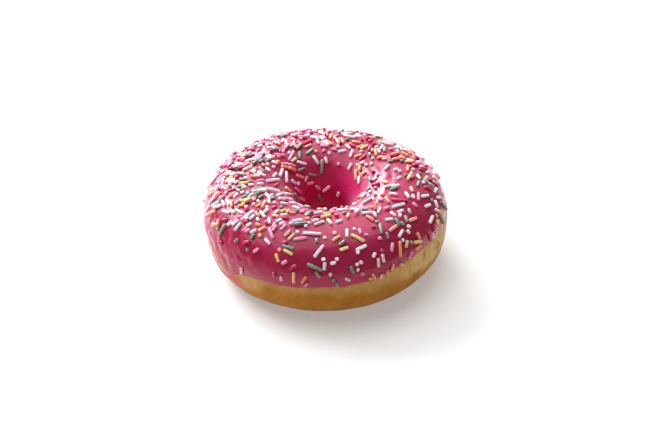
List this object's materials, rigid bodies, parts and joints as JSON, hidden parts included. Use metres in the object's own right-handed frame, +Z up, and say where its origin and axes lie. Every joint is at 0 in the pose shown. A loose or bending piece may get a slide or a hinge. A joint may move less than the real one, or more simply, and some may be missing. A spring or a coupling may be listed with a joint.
{
  "type": "sprinkle frosted doughnut",
  "caption": "Ring doughnut with a golden fried crust, a pale belt, set pink icing over its upper half and coloured sugar sprinkles.",
  "frame": {"origin": "middle of the ring on the surface it rests on", "axes": "+Z up through the hole, -Y towards the viewer of the front, +X to the viewer's right"},
  "size_m": [0.0927, 0.0922, 0.0355],
  "materials": {
    "dough": "satin fried crust",
    "icing": "glossy set sugar icing"
  },
  "bodies": {
    "root": {"dough": "dough", "icing_with_sprinkles": "icing"}
  },
  "joints": []
}
